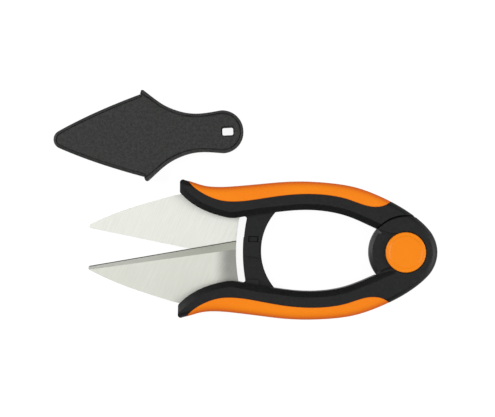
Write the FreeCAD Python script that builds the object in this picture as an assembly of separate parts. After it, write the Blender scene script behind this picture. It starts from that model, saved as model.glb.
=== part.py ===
"""Thread snips with two sprung arms on a rear pivot, and the loose cover that slips over the blades.

Frame, in millimetres: the origin is the pivot axis on the table, +X points to the heel behind the pivot,
the blades point along -X, +Y is the side of the moving arm and +Z is up. The snips lie flat and open.
Both arms are one shape: the moving arm is drawn, and the fixed arm is the same turned over about X.
"""

import math
import os

import FreeCAD
import Part

# Thicknesses, from the table up.
CORE_T = 12.0  # moulded arm, without the grips
GRIP_PROUD = 0.25  # grips and caps stand this far outside the core, above and below
BLADE_T = 1.5
BLADE_GAP = 0.1  # between the two blades
FLANGE_T = 2.4  # each half of the bridge between the arms
FACE_GAP = 0.2  # between the two hub halves, and between the two flanges
MID_Z = CORE_T / 2 + GRIP_PROUD
TOP_Z = CORE_T + 2 * GRIP_PROUD

# Arm outline, moving side, as points its smooth curves run through.
OUTER = [(-105.3, 32.7), (-102.0, 31.8), (-96.5, 30.15), (-89.0, 29.42), (-80.0, 29.98), (-68.0, 31.25),
         (-57.0, 32.35), (-47.0, 32.65), (-36.0, 32.1), (-24.0, 30.3), (-12.0, 26.1)]
REAR = [(8.0, 13.9), (12.0, 9.6)]
INNER = [(-20.0, 13.7), (-28.0, 16.75), (-36.0, 18.5), (-44.0, 19.2), (-52.0, 19.0), (-61.0, 18.0),
         (-72.0, 16.5), (-77.5, 15.4), (-82.0, 14.85), (-87.0, 15.6), (-93.0, 17.4), (-99.0, 20.15),
         (-106.9, 26.6)]
END_TOP = 30.9  # upper end of the flat front face of the arm
SIDE = (0.0, 19.85)  # where the outside of the arm passes the pivot
FAR = 60.0  # beyond anything on an arm
GRIP_EDGE = [(-103.6, 32.4), (-101.0, 29.55), (-97.0, 26.75), (-92.0, 24.35), (-87.0, 22.95), (-82.0, 22.6),
             (-76.0, 23.0), (-68.0, 24.25), (-58.0, 25.85), (-47.0, 26.72), (-36.0, 26.2), (-27.0, 24.35),
             (-20.0, 22.0), (-15.0, 21.2), (-11.0, 21.75), (-6.2, 24.6)]
OUTER_ROUND = 3.0
GRIP_ROUND = 4.0
GRIP_EDGE_ROUND = 0.35
BEVEL_WIDTH = 2.85  # sloped band along the inside of the arm
BEVEL_DROP = 1.5
RIB_DEPTH = 2.5  # from the outline of the grip in to the rib that it is moulded round
RIB_T = 5.5

# Hub.
HUB_R = 17.2
HUB_GAP = 0.45  # round the edge of the other arm's hub
HEEL_R = 15.15  # the hub is cut back to this at the very rear
HUB_EDGE_ROUND = 0.8
CORNER_ANGLE = 38.7  # where the inside edge of the arm meets the hub, in degrees off -X
FLAT_END = (-7.5, 9.0)  # inner end of the crease beside the lowered flat
FLAT_DROP = 1.6
RIM_WIDTH = 2.75
RIM_DROP = 1.2

# Pivot hardware.
CAP_R = 9.73
CAP_CLEAR = 0.12
CAP_T = 2.1
CAP_ROUND = 0.4
CAP_RING = 1.4
CAP_DISH = 0.35
SKIRT_R = 8.6
SKIRT_T = 1.0
SKIRT_H = 1.3
SEAT_Z = 2.65  # from the mid-plane out to each screw seat
PIN_R = 3.0
PIN_CLEAR = 0.05
THREAD_R = 1.6
HEAD_R = 4.6
HEAD_T = 0.8
SOCKET_R = 1.45
SOCKET_DEPTH = 0.6
WASHER_R = 5.4
WASHER_T = 0.4
RING_IN = 11.2
RING_OUT = 14.2
RING_T = 0.7
RUNNING = 0.05

# Opening spring, round the pin.
WIRE_R = 0.55
COIL_R = 5.6
COIL_PITCH = 1.15
COIL_TURNS = 2
LEG_OUT = 10.2
CHAMBER_R = 7.6
CHAMBER_H = 3.5
LEG_SLOT = 1.6

# Blades. The cutting edge is straight, from the tip back to the heel.
TIP = (-149.3, 8.95)
NOSE = (-149.75, 10.1)
EDGE_SLOPE = 0.189
HEEL_ARC = 80.05
BACK = [(-148.6, 11.1), (-140.0, 15.1), (-128.0, 19.6), (-116.0, 23.3), (-107.0, 25.7)]
TANG = [(-98.0, 26.0), (-92.0, 23.4), (-84.0, 21.9), (-74.0, 23.0), (-64.0, 24.6)]
TANG_ROOT_Y = 18.6  # where the heel runs into the tang
TANG_END_Y = 20.0
TANG_HOLE_R = 1.3
TANG_HOLE_IN = 5.5  # from the end of the tang
GRIND_TIP = 1.7
GRIND_HEEL = 4.2
GRIND_PAST = 3.0  # the grind is drawn this far past tip and heel
GRIND_OFF = 1.5  # and this far off the cutting edge
GRIND_TOP_Y = 14.0
EDGE_LEFT = 0.2  # thickness left at the cutting edge

# Bridge between the arms: two flanges that slide over each other, with a hook in a groove.
SLOT_W = 3.45  # open slot between the heels of the blades and the bridge
SLOT_CORNER = 1.0
FRONT_ARC = HEEL_ARC - SLOT_W
LIP = 0.2  # the lower flange shows this far ahead of the upper one
BRIDGE_W = 8.45  # at its narrowest
BRIDGE_RUN = 27.0  # how far in the flanges are drawn before the finger opening is cut
HOLE_ARC = 27.8
ROOT_IN = 1.5  # how far the flanges run into the arms
ARM_INSIDE_Y = 18.0  # inside of the arm beside the bridge
TONGUE_Y = -2.73  # front corner of the end of the upper flange
TONGUE_SLOPE = 0.133
LOWER_END_Y = 5.7  # front corner of the end of the lower flange
LOWER_END_SLOPE = 0.3
WINDOW_Y = (3.7, 6.4)
GROOVE_WALL = 2.0
GROOVE_W = 5.0
GROOVE_TO_Y = 15.8
GROOVE_DEPTH = 1.4
HOOK_L = 2.4
HOOK_H = 1.3
HOOK_CLEAR = 0.1
HOOK_SIDE = 0.5
PAD_W = 5.4
PAD_IN = 1.8  # from the front of the upper flange
PAD_Y = -14.1
PAD_H = 1.6
LINE_IN = 7.4  # fine line along the upper flange, from its front
LINE_W = 0.4
LINE_DEPTH = 0.5
LINE_FROM_Y = -5.0

# Blade cover, drawn along its own axis from the tip.
COVER_AT = (-167.3, 50.4)
COVER_TURN = 3.75
COVER_SIDE = [(2.3, 3.95), (10.0, 7.6), (25.0, 13.75), (42.3, 19.7)]
COVER_NUB = [(42.45, 21.1), (42.95, 21.6), (43.7, 21.45)]
COVER_MOUTH = [(48.0, 17.75), (53.0, 13.95), (59.0, 11.0), (64.5, 9.45), (69.0, 9.03), (74.5, 9.35)]
COVER_END_X = 80.0
COVER_END_R = 10.05
COVER_PLATE = 1.3
COVER_GAP = 5.2
COVER_RIM_H = 0.5
COVER_RIM_W = 1.05
COVER_WALL = 1.5
COVER_ROUND = 1.1
HANG_X = 82.6
HANG_SIZE = (5.2, 3.8)
HANG_CORNER = 0.8
COVER_RIM_FROM = 42.4  # the raised rim starts here
COVER_FAR = (100.0, 30.0)  # beyond the cover's length and half width
COVER_POCKET = 45.0  # where the pocket opens out at the mouth
COVER_NOSE = 5.2  # solid end ahead of the pocket


def vec(point, z=0.0):
    """A plan point lifted to height z."""
    return FreeCAD.Vector(point[0], point[1], z)


def smooth(points, z=0.0, start=None, end=None):
    """A smooth edge through plan points, with optional end directions."""
    curve = Part.BSplineCurve()
    if start and end:
        places = [vec(p, z) for p in points]
        curve.interpolate(Points=places, InitialTangent=vec(start), FinalTangent=vec(end))
    else:
        curve.interpolate([vec(p, z) for p in points])
    return curve.toShape()


def lines(points, z=0.0):
    """Straight edges joining plan points in order."""
    return [Part.makeLine(vec(a, z), vec(b, z)) for a, b in zip(points, points[1:])]


def arc(a, through, b, z=0.0):
    """A circular edge from a to b by way of a third point."""
    return Part.Arc(vec(a, z), vec(through, z), vec(b, z)).toShape()


def prism(edges, low, high):
    """The closed outline of edges, pulled up from low to high."""
    face = Part.Face(Part.Wire(Part.sortEdges(edges)[0]))
    face.translate(FreeCAD.Vector(0, 0, low))
    return face.extrude(FreeCAD.Vector(0, 0, high - low))


def disc(radius, low, high, centre=(0.0, 0.0)):
    """An upright cylinder between two heights."""
    return Part.makeCylinder(radius, high - low, vec(centre, low))


def tube(inner, outer, low, high):
    """An upright ring round the pivot."""
    return disc(outer, low, high).cut(disc(inner, low - 1, high + 1))


def block(x, y, z):
    """A box between pairs of limits."""
    return Part.makeBox(x[1] - x[0], y[1] - y[0], z[1] - z[0], FreeCAD.Vector(x[0], y[0], z[0]))


def mirrored(points):
    """The points on the other side of the X axis."""
    return [(x, -y) for x, y in points]


def offset(points, distance):
    """The points moved sideways, to the left of the way they run."""
    moved = []
    for i, (x, y) in enumerate(points):
        before = points[max(i - 1, 0)]
        after = points[min(i + 1, len(points) - 1)]
        dx, dy = after[0] - before[0], after[1] - before[1]
        size = math.hypot(dx, dy)
        moved.append((x - dy / size * distance, y + dx / size * distance))
    return moved


def turned_over(shape):
    """The shape turned half a turn about the X line at mid height: one arm becomes the other."""
    copy = shape.copy()
    copy.rotate(FreeCAD.Vector(0, 0, MID_Z), FreeCAD.Vector(1, 0, 0), 180)
    return copy


def on_circle(radius, degrees):
    """A plan point on a circle round the pivot, measured from -X towards +Y."""
    angle = math.radians(degrees)
    return (-radius * math.cos(angle), radius * math.sin(angle))


def flat_edges(shape, levels, wanted):
    """Edges that lie at one of the levels and whose middle passes the test wanted(x, y)."""
    found = []
    for edge in shape.Edges:
        box = edge.BoundBox
        if box.ZLength > 0.01 or min(abs(box.ZMin - level) for level in levels) > 0.01:
            continue
        middle = edge.valueAt((edge.FirstParameter + edge.LastParameter) / 2)
        if wanted(middle.x, middle.y):
            found.append(edge)
    return found


def upright_edges(shape, wanted):
    """Edges parallel to Z that pass the test wanted(edge)."""
    upright = [e for e in shape.Edges if e.BoundBox.XLength < 0.01 and e.BoundBox.YLength < 0.01]
    return [e for e in upright if wanted(e)]


# ---------------------------------------------------------------- outlines

def corner():
    """Where the inside edge of the arm meets its hub."""
    return on_circle(HUB_R, CORNER_ANGLE)


def outer_points():
    """The outside of the arm and on round the heel, ending on the axis."""
    return OUTER + [SIDE] + REAR + [(HEEL_R, 0.0)]


def outer_edge():
    """The outside of the arm as one edge."""
    return smooth(outer_points(), start=(3.0, -1.6), end=(0.0, -12.0))


def inner_points():
    """The inside of the arm, from the hub forward to the front face."""
    return [corner()] + INNER


def arm_outline():
    """The moving arm with its hub, seen from above."""
    front = INNER[-1]
    heel = smooth(mirrored([SIDE] + REAR + [(HEEL_R, 0.0)]), start=(4.0, 2.6), end=(0.0, 9.0))
    end = [smooth(inner_points())]
    end += lines([front, (front[0], END_TOP)])
    end.append(arc((front[0], END_TOP), (front[0] + 0.42, END_TOP + 1.38), OUTER[0]))
    return end, heel


def arm_blank(low, high):
    """The arm with its hub, full thickness and square edged."""
    left = OUTER[0][0] - FAR / 4
    around = [(HEEL_R, 0.0), (HEEL_R, -FAR), (left, -FAR), (left, OUTER[0][1] + FAR / 4), OUTER[0]]
    outside = prism([outer_edge()] + lines(around), low, high)
    ends, heel = arm_outline()
    inside = prism(ends + lines([OUTER[0], (FAR / 3, FAR), (FAR / 3, 0.0), (0.0, 0.0), corner()]), low, high)
    arm = outside.common(inside)
    below = outside.copy()
    below = below.mirror(FreeCAD.Vector(0, 0, 0), FreeCAD.Vector(0, 1, 0))
    hub = disc(HUB_R, low, high).common(outside).common(below)
    return arm.fuse(hub).removeSplitter()


def rounded_body(low, high, radius):
    """The outline both arms share, run on past their front ends, with its long outside edges rounded."""
    ahead = (OUTER[0][0] - 7.0, OUTER[0][1] + 5.2)
    side = [ahead] + OUTER + [SIDE] + REAR + [(HEEL_R, 0.0)]
    around = side + mirrored(side[:-1])[::-1]
    body = prism([smooth(around)] + lines([around[-1], ahead]), low, high)
    return body.makeFillet(radius, flat_edges(body, (low, high), lambda x, y: x > ahead[0] + 1.0))


def grip_region(low, high):
    """Everything outside the line where the grip begins."""
    start, end = GRIP_EDGE[0], GRIP_EDGE[-1]
    return prism([smooth(GRIP_EDGE)] + lines([end, (end[0], FAR), (start[0], FAR), start]), low, high)


# ---------------------------------------------------------------- arms

def bevel_cutter():
    """What is cut off above the sloped band along the inside of the arm."""
    points = inner_points()
    dx, dy = points[0][0] - points[1][0], points[0][1] - points[1][1]
    run_on = (points[0][0] + dx * 1.2, points[0][1] + dy * 1.2)
    tail = points[-1]
    ahead = (tail[0] - 4.0, tail[1] + 3.6)
    base = [run_on] + points + [ahead]
    top = MID_Z + CORE_T / 2
    wires = []
    for past in (-BEVEL_DROP - 0.6, 0.5):
        run = offset(base, -BEVEL_WIDTH * (1 + past / BEVEL_DROP))
        z = top + past
        closing = lines([run[-1], (ahead[0], -HUB_R / 2), (run[0][0], -HUB_R / 2), run[0]], z)
        wires.append(Part.Wire(Part.sortEdges([smooth(run, z)] + closing)[0]))
    return Part.makeLoft(wires, True, True)


def hub_flat_cutter():
    """The lowered flat beside the cap and the sloped rim round its outside, on top."""
    top = MID_Z + CORE_T / 2
    low = top - FLAT_DROP
    c, f = on_circle(HUB_R + 0.4, CORNER_ANGLE - 0.5), FLAT_END
    plan = [c, f, (0.0, f[1]), (0.0, -f[1]), (f[0], -f[1]), (c[0], -c[1]), (-24.0, -c[1]), (-24.0, c[1]), c]
    flat = prism(lines(plan), low, top + 1)
    foot = low - RIM_DROP
    section = [(HUB_R - RIM_WIDTH, low), (HUB_R + 1, low), (HUB_R + 1, foot), (HUB_R, foot)]
    wire = Part.makePolygon([FreeCAD.Vector(-r, 0, z) for r, z in section + section[:1]])
    rim = Part.Face(wire).revolve(FreeCAD.Vector(0, 0, 0), FreeCAD.Vector(0, 0, 1), 360)
    wedge = [(0.0, 0.0), on_circle(FAR / 2, CORNER_ANGLE), on_circle(FAR / 2, -CORNER_ANGLE), (0.0, 0.0)]
    sector = prism(lines(wedge), 0, top)
    return flat.fuse(rim.common(sector))


def hub_edge_cutter():
    """Rounds the top edge of the fixed arm's hub where it faces the moving arm."""
    top = MID_Z + CORE_T / 2
    r = HUB_EDGE_ROUND
    section = [(HUB_R - r, top - r), (HUB_R + 1, top - r), (HUB_R + 1, top + 1), (HUB_R - r, top + 1)]
    wire = Part.makePolygon([FreeCAD.Vector(-a, 0, z) for a, z in section + section[:1]])
    axis = (FreeCAD.Vector(0, 0, 0), FreeCAD.Vector(0, 0, 1), 360)
    outside = Part.Face(wire).revolve(*axis)
    torus = Part.makeTorus(HUB_R - r, r, FreeCAD.Vector(0, 0, top - r), FreeCAD.Vector(0, 0, 1))
    reach = HUB_R * 2.5
    wedge = [(0.0, 0.0)] + [on_circle(reach, angle) for angle in (CORNER_ANGLE, 68, 107)] + [(0.0, 0.0)]
    span = prism(lines(wedge), 0, top + 1)
    return outside.cut(torus).common(span)


def blade_plan():
    """The moving blade with its hidden tang, as an outline."""
    heel_y = TIP[1] - EDGE_SLOPE * (-HEEL_ARC - TIP[0] + 0.12)
    heel = (-math.sqrt(HEEL_ARC ** 2 - heel_y ** 2), heel_y)
    root = on_circle(HEEL_ARC, math.degrees(math.asin(TANG_ROOT_Y / HEEL_ARC)))
    back = smooth(BACK + TANG)
    end = TANG[-1]
    return [back] + lines([end, (end[0], TANG_END_Y), root]) + [
        arc(root, on_circle(HEEL_ARC, 5.0), heel)] + lines([heel, TIP]) + [arc(TIP, NOSE, BACK[0])]


def moving_blade():
    """The blade below: its grind is underneath, its flat face is up against the other blade."""
    high = MID_Z - BLADE_GAP / 2
    low = high - BLADE_T
    blade = prism(blade_plan(), low, high)
    past = GRIND_PAST - HEEL_ARC
    heel = (past, TIP[1] - EDGE_SLOPE * (past - TIP[0]))
    tip = (TIP[0] - GRIND_PAST, TIP[1] + EDGE_SLOPE * GRIND_PAST)
    sections = []
    for (x, y), width in ((tip, GRIND_TIP), (heel, GRIND_HEEL)):
        rise = (BLADE_T - EDGE_LEFT) * GRIND_OFF / width
        out = y - GRIND_OFF
        under = low - BLADE_T
        pts = [(out, high - EDGE_LEFT + rise), (y + width, low), (y + width, under), (out, under)]
        sections.append(Part.makePolygon([FreeCAD.Vector(x, v, z) for v, z in pts + pts[:1]]))
    grind = Part.makeLoft(sections, True, True)
    keep = block((NOSE[0] - GRIND_PAST, EDGE_LEFT - HEEL_ARC), (-FAR, GRIND_TOP_Y), (low - BLADE_T, high))
    end_x, end_y = TANG[-1]
    hole = (end_x - TANG_HOLE_IN, (TANG_END_Y + end_y) / 2 - 0.5)
    return blade.cut(grind.common(keep)).cut(disc(TANG_HOLE_R, low - BLADE_T, high + BLADE_T, hole))


def sector_band(inner, outer, y_low, y_high, low, high):
    """A band between two circles round the pivot, ahead of it, between two heights in Y."""
    ring = tube(inner, outer, low, high)
    return ring.common(block((-outer - 1, 0), (y_low, y_high), (low, high)))


def bridge_plate(front, y_low, y_high, low, high):
    """The part of the bridge common to both flanges: between the blade heel and the finger opening."""
    plate = sector_band(front - BRIDGE_RUN, front, y_low, y_high, low, high)
    middle = HOLE_ARC - (FRONT_ARC - BRIDGE_W)
    return plate.cut(disc(HOLE_ARC, low - 1, high + 1, (middle, 0.0)))


def slanted_end(y, slope, side, low, high):
    """What lies beyond a slanted line across the bridge, on the side of it that side says."""
    front, back = -FRONT_ARC - LIP - 1.0, -FRONT_ARC + BRIDGE_W * 2.5
    line = [(x, y + slope * (x + FRONT_ARC)) for x in (front, back)]
    return prism(lines(line + [(back, side * FAR), (front, side * FAR), line[0]]), low, high)


def groove(y_low, y_high, low, high, inset=0.0):
    """The band across the bridge that the hook runs in."""
    outer = FRONT_ARC - GROOVE_WALL
    return sector_band(outer - GROOVE_W + inset, outer - inset, y_low, y_high, low, high)


def moving_flange():
    """The upper flange, with the groove and window that the hook of the lower one runs in."""
    low = MID_Z + FACE_GAP / 2
    high = low + FLANGE_T
    plate = bridge_plate(FRONT_ARC, -ARM_INSIDE_Y, ARM_INSIDE_Y + ROOT_IN, low, high)
    plate = plate.cut(slanted_end(TONGUE_Y, -TONGUE_SLOPE, -1, low, high))
    plate = plate.cut(groove(WINDOW_Y[0], GROOVE_TO_Y, low, low + GROOVE_DEPTH))
    plate = plate.cut(groove(WINDOW_Y[0], WINDOW_Y[1], low, high))
    x = LINE_IN - FRONT_ARC
    return plate.cut(block((x, x + LINE_W), (LINE_FROM_Y, WINDOW_Y[0]), (high - LINE_DEPTH, high)))


def fixed_flange():
    """The lower flange, with the hook near its end and the pad beside the fixed arm."""
    high = MID_Z - FACE_GAP / 2
    low = high - FLANGE_T
    plate = bridge_plate(FRONT_ARC + LIP, -ARM_INSIDE_Y - ROOT_IN, ARM_INSIDE_Y, low, high)
    plate = plate.cut(slanted_end(LOWER_END_Y, LOWER_END_SLOPE, 1, low, high))
    start = WINDOW_Y[0] + HOOK_CLEAR
    hook = groove(start, start + HOOK_L, high, high + HOOK_H, HOOK_SIDE)
    x = PAD_IN - FRONT_ARC
    pad = block((x, x + PAD_W), (-ARM_INSIDE_Y, PAD_Y), (high, high + PAD_H))
    return plate.fuse(hook).fuse(pad)


def slot_rounded(core, front, side):
    """The core with the corner where its flange leaves the arm rounded, at the front."""
    def at_corner(edge):
        x, y = edge.Vertexes[0].X, edge.Vertexes[0].Y
        return abs(math.hypot(x, y) - front) < 0.02 and y * side > ARM_INSIDE_Y / 2

    return core.makeFillet(SLOT_CORNER, upright_edges(core, at_corner))


def hub_cuts():
    """Bores and recesses of the moving arm's hub, which is the lower half."""
    seat = MID_Z - SEAT_Z
    cuts = disc(CAP_R + CAP_CLEAR, -1, CAP_T + 0.05)
    cuts = cuts.fuse(disc(SKIRT_R + 0.1, -1, seat))
    cuts = cuts.fuse(disc(CHAMBER_R, MID_Z - CHAMBER_H / 2, MID_Z + 1))
    cuts = cuts.fuse(tube(RING_IN - 0.1, RING_OUT + 0.1, MID_Z - RING_T / 2 - RUNNING, MID_Z + 1))
    return cuts.fuse(leg_slot(MID_Z - CHAMBER_H / 2, MID_Z + 1))


def leg_slot(low, high):
    """Slot beside the spring chamber that takes a leg of the spring."""
    return block((COIL_R - LEG_SLOT / 2, COIL_R + LEG_SLOT / 2), (-LEG_OUT - 0.4, 0.0), (low, high))


def plain_arm():
    """The moulded core of the moving arm, without flange, grip groove or blade slot."""
    low, high = GRIP_PROUD, GRIP_PROUD + CORE_T
    arm = arm_blank(low, high).common(rounded_body(low, high, OUTER_ROUND))
    bevel = bevel_cutter()
    arm = arm.cut(bevel).cut(bevel.mirror(FreeCAD.Vector(0, 0, MID_Z), FreeCAD.Vector(0, 0, 1)))
    arm = arm.cut(turned_over(hub_flat_cutter())).cut(turned_over(hub_edge_cutter()))
    arm = arm.cut(disc(HUB_R + HUB_GAP, MID_Z - FACE_GAP / 2, high + 1))
    return arm.cut(hub_cuts())


def rib():
    """The ridge of the core that the grip is moulded round."""
    low, high = MID_Z - RIB_T / 2, MID_Z + RIB_T / 2
    inside = [(x, y - RIB_DEPTH) for x, y in outer_points()[1:-4]]
    first, last = inside[0], inside[-1]
    under = prism([smooth(inside)] + lines([last, (last[0], 0.0), (first[0], 0.0), first]), low, high)
    return under.common(grip_region(low, high))


def grip():
    """The soft grip on the outside of the moving arm."""
    whole = arm_blank(0.0, TOP_Z).common(rounded_body(0.0, TOP_Z, GRIP_ROUND))
    pad = whole.common(grip_region(-1.0, TOP_Z + 1.0))
    beside_core = []
    for level in (0.0, TOP_Z):
        rims = flat_edges(pad, (level,), lambda x, y: True)
        beside_core.append(min(rims, key=lambda e: e.valueAt((e.FirstParameter + e.LastParameter) / 2).y))
    return pad.makeFillet(GRIP_EDGE_ROUND, beside_core).cut(rib())


def arm_core():
    """The moving arm's core with the rib on, ready for its blade and flange."""
    return plain_arm().cut(grip_region(-1.0, TOP_Z + 1.0)).fuse(rib()).removeSplitter()


# ---------------------------------------------------------------- pivot

def pin_bore(radius):
    """A hole through everything on the pivot's axis."""
    return disc(radius, -1, TOP_Z + 1)


def pivot_barrel():
    """Headed barrel that comes up from below; both arms turn on it."""
    seat = MID_Z - SEAT_Z - WASHER_T - RUNNING
    barrel = disc(PIN_R, seat, MID_Z + SEAT_Z).fuse(disc(HEAD_R, seat - HEAD_T, seat))
    return barrel.cut(disc(THREAD_R, seat + 0.8, TOP_Z)).removeSplitter()


def pivot_screw():
    """Screw that closes the barrel from above, with a hexagon socket."""
    seat = MID_Z + SEAT_Z + WASHER_T
    screw = disc(HEAD_R, seat, seat + HEAD_T).fuse(disc(THREAD_R, MID_Z - 1.5, seat))
    corners = [on_circle(SOCKET_R, 60 * i) for i in range(7)]
    socket = prism(lines(corners), seat + HEAD_T - SOCKET_DEPTH, seat + HEAD_T + 1)
    return screw.cut(socket).removeSplitter()


def cap(dished):
    """The lower cap, with a skirt that snaps into the hub. The upper one has a shallow dish too."""
    body = disc(CAP_R, 0.0, CAP_T)
    body = body.makeFillet(CAP_ROUND, [e for e in body.Edges if e.BoundBox.ZMax < 0.01])
    if dished:
        dish_r = CAP_R - CAP_RING
        ball = (dish_r ** 2 + CAP_DISH ** 2) / (2 * CAP_DISH)
        body = body.cut(Part.makeSphere(ball, FreeCAD.Vector(0, 0, CAP_DISH - ball), FreeCAD.Vector(1, 0, 0)))
    return body.fuse(tube(SKIRT_R - SKIRT_T, SKIRT_R, CAP_T, CAP_T + SKIRT_H)).removeSplitter()


def opening_spring():
    """Torsion spring round the barrel, one leg in each hub half."""
    bottom = MID_Z - COIL_PITCH * COIL_TURNS / 2
    top = MID_Z + COIL_PITCH * COIL_TURNS / 2
    helix = Part.makeHelix(COIL_PITCH, COIL_PITCH * COIL_TURNS, COIL_R)
    helix.translate(FreeCAD.Vector(0, 0, bottom))
    profile = Part.Wire(Part.makeCircle(WIRE_R, FreeCAD.Vector(COIL_R, 0, bottom), FreeCAD.Vector(0, 1, 0)))
    coil = Part.Wire(helix).makePipeShell([profile], True, True)
    low_leg = Part.makeCylinder(WIRE_R, LEG_OUT, FreeCAD.Vector(COIL_R, 0, bottom), FreeCAD.Vector(0, -1, 0))
    high_leg = Part.makeCylinder(WIRE_R, LEG_OUT, FreeCAD.Vector(COIL_R, 0, top), FreeCAD.Vector(0, 1, 0))
    return coil.fuse(low_leg).fuse(high_leg)


# ---------------------------------------------------------------- cover

def cover_edge(side):
    """One long side of the cover from tip to round end; side is 1 for +Y or -1 for -Y."""
    straight = [(x, y * side) for x, y in COVER_SIDE]
    nub = [(x, y * side) for x, y in COVER_NUB]
    mouth = nub[-1:] + [(x, y * side) for x, y in COVER_MOUTH] + [(COVER_END_X, COVER_END_R * side)]
    return straight, nub, mouth


def cover_outline():
    """The whole cover seen from above."""
    edges = []
    for side in (1, -1):
        straight, nub, mouth = cover_edge(side)
        edges += [smooth(straight)] + lines([straight[-1]] + nub) + [smooth(mouth)]
    edges.append(arc(COVER_SIDE[0], (0.0, 0.0), mirrored(COVER_SIDE)[0]))
    end = (COVER_END_X, COVER_END_R)
    edges.append(arc(end, (COVER_END_X + COVER_END_R, 0.0), (end[0], -end[1])))
    return edges


def cover_rim_region(low, high):
    """The plan inside the raised rim, drawn a rim's width in from the mouth and round end."""
    points = []
    edges = []
    for side in (1, -1):
        mouth = offset(cover_edge(side)[2], -COVER_RIM_W * side)
        mouth[-1] = (COVER_END_X, (COVER_END_R - COVER_RIM_W) * side)
        mouth[0] = (42.6, mouth[0][1] - 0.3 * side)
        edges.append(smooth(mouth))
        points.append(mouth)
    reach = COVER_END_R - COVER_RIM_W
    edges.append(arc((COVER_END_X, reach), (COVER_END_X + reach, 0.0), (COVER_END_X, -reach)))
    wide, back = COVER_FAR[1], COVER_SIDE[2][0]
    around = [(back, wide), (-COVER_END_R, wide), (-COVER_END_R, -wide), (back, -wide)]
    edges += lines([points[0][0]] + around + [points[1][0]])
    return prism(edges, low, high)


def blade_cover():
    """One moulded sheath: two plates joined along the straight sides, open along the mouth and neck."""
    plates = COVER_GAP + 2 * COVER_PLATE
    base = COVER_RIM_H
    body = prism(cover_outline(), base, base + plates)
    sides = flat_edges(body, (base, base + plates), lambda x, y: x < COVER_SIDE[-1][0])
    body = body.makeFillet(COVER_ROUND, sides)
    rims = prism(cover_outline(), 0.0, plates + 2 * base).cut(cover_rim_region(-1.0, plates + 3))
    far, wide = COVER_FAR
    rims = rims.common(block((COVER_RIM_FROM, far), (-wide, wide), (-1, plates + 3)))
    body = body.fuse(rims)
    inner = [(x, y - COVER_WALL * 1.08) for x, y in COVER_SIDE[1:]]
    nose = (COVER_NOSE, 0.0)
    opening = (COVER_POCKET, inner[-1][1] + (COVER_POCKET - inner[-1][0]) * 0.72)
    pocket = lines([nose] + inner + [opening, (COVER_POCKET, wide), (far, wide), (far, 0.0), nose])
    half = prism(pocket, base + COVER_PLATE, base + COVER_PLATE + COVER_GAP)
    body = body.cut(half).cut(half.mirror(FreeCAD.Vector(0, 0, 0), FreeCAD.Vector(0, 1, 0)))
    dx, dy = HANG_SIZE[0] / 2, HANG_SIZE[1] / 2
    hang = block((HANG_X - dx, HANG_X + dx), (-dy, dy), (-1, plates + 3))
    hang = hang.makeFillet(HANG_CORNER, upright_edges(hang, lambda edge: True))
    body = body.cut(hang).removeSplitter()
    body.rotate(FreeCAD.Vector(0, 0, 0), FreeCAD.Vector(0, 0, 1), COVER_TURN)
    body.translate(vec(COVER_AT))
    return body


# ---------------------------------------------------------------- the nodes

def build():
    """Every piece, by the name of its node."""
    blade = moving_blade()
    core = arm_core()
    pad = grip()
    nodes = {}
    moving = slot_rounded(core.fuse(moving_flange()).removeSplitter(), FRONT_ARC, 1)
    nodes["moving_core"] = moving.cut(blade).cut(pin_bore(PIN_R + PIN_CLEAR)).removeSplitter()
    other = turned_over(core)
    top_ring = tube(RING_IN - 0.1, RING_OUT + 0.1, MID_Z - 1, MID_Z + RING_T / 2)
    other = slot_rounded(other.fuse(fixed_flange()).removeSplitter(), FRONT_ARC + LIP, -1)
    other = other.cut(turned_over(blade)).cut(pin_bore(PIN_R + 0.01)).cut(top_ring)
    nodes["fixed_core"] = other.removeSplitter()
    nodes["moving_grip"] = pad.cut(blade)
    nodes["fixed_grip"] = turned_over(nodes["moving_grip"])
    nodes["moving_blade"] = blade
    nodes["fixed_blade"] = turned_over(blade)
    nodes["pivot_barrel"] = pivot_barrel()
    nodes["pivot_screw"] = pivot_screw()
    low_seat = MID_Z - SEAT_Z - RUNNING
    nodes["lower_washer"] = tube(PIN_R, WASHER_R, low_seat - WASHER_T, low_seat)
    nodes["upper_washer"] = tube(THREAD_R, WASHER_R, MID_Z + SEAT_Z, MID_Z + SEAT_Z + WASHER_T)
    nodes["thrust_ring"] = tube(RING_IN, RING_OUT, MID_Z - RING_T / 2, MID_Z + RING_T / 2)
    nodes["opening_spring"] = opening_spring()
    nodes["lower_cap"] = cap(False)
    nodes["upper_cap"] = turned_over(cap(True))
    nodes["blade_cover"] = blade_cover()
    return nodes


def main():
    os.makedirs("parts", exist_ok=True)
    for name, shape in build().items():
        shape.exportStep("parts/%s.step" % name)
        box = shape.BoundBox
        print("%-16s valid=%s solids=%d  %.1f x %.1f x %.1f" % (
            name, shape.isValid(), len(shape.Solids), box.XLength, box.YLength, box.ZLength))


main()
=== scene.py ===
"""Looks for a pair of sprung thread snips and their blade cover.

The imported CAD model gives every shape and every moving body. This script finishes it: it models the pieces
that need softer corners or finer detail over their solids, and makes the materials, the studio and the
camera, all in metres in the CAD's own frame.
"""
import logging
import math
from dataclasses import dataclass
from enum import Enum
from typing import Optional, Sequence, Union

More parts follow.
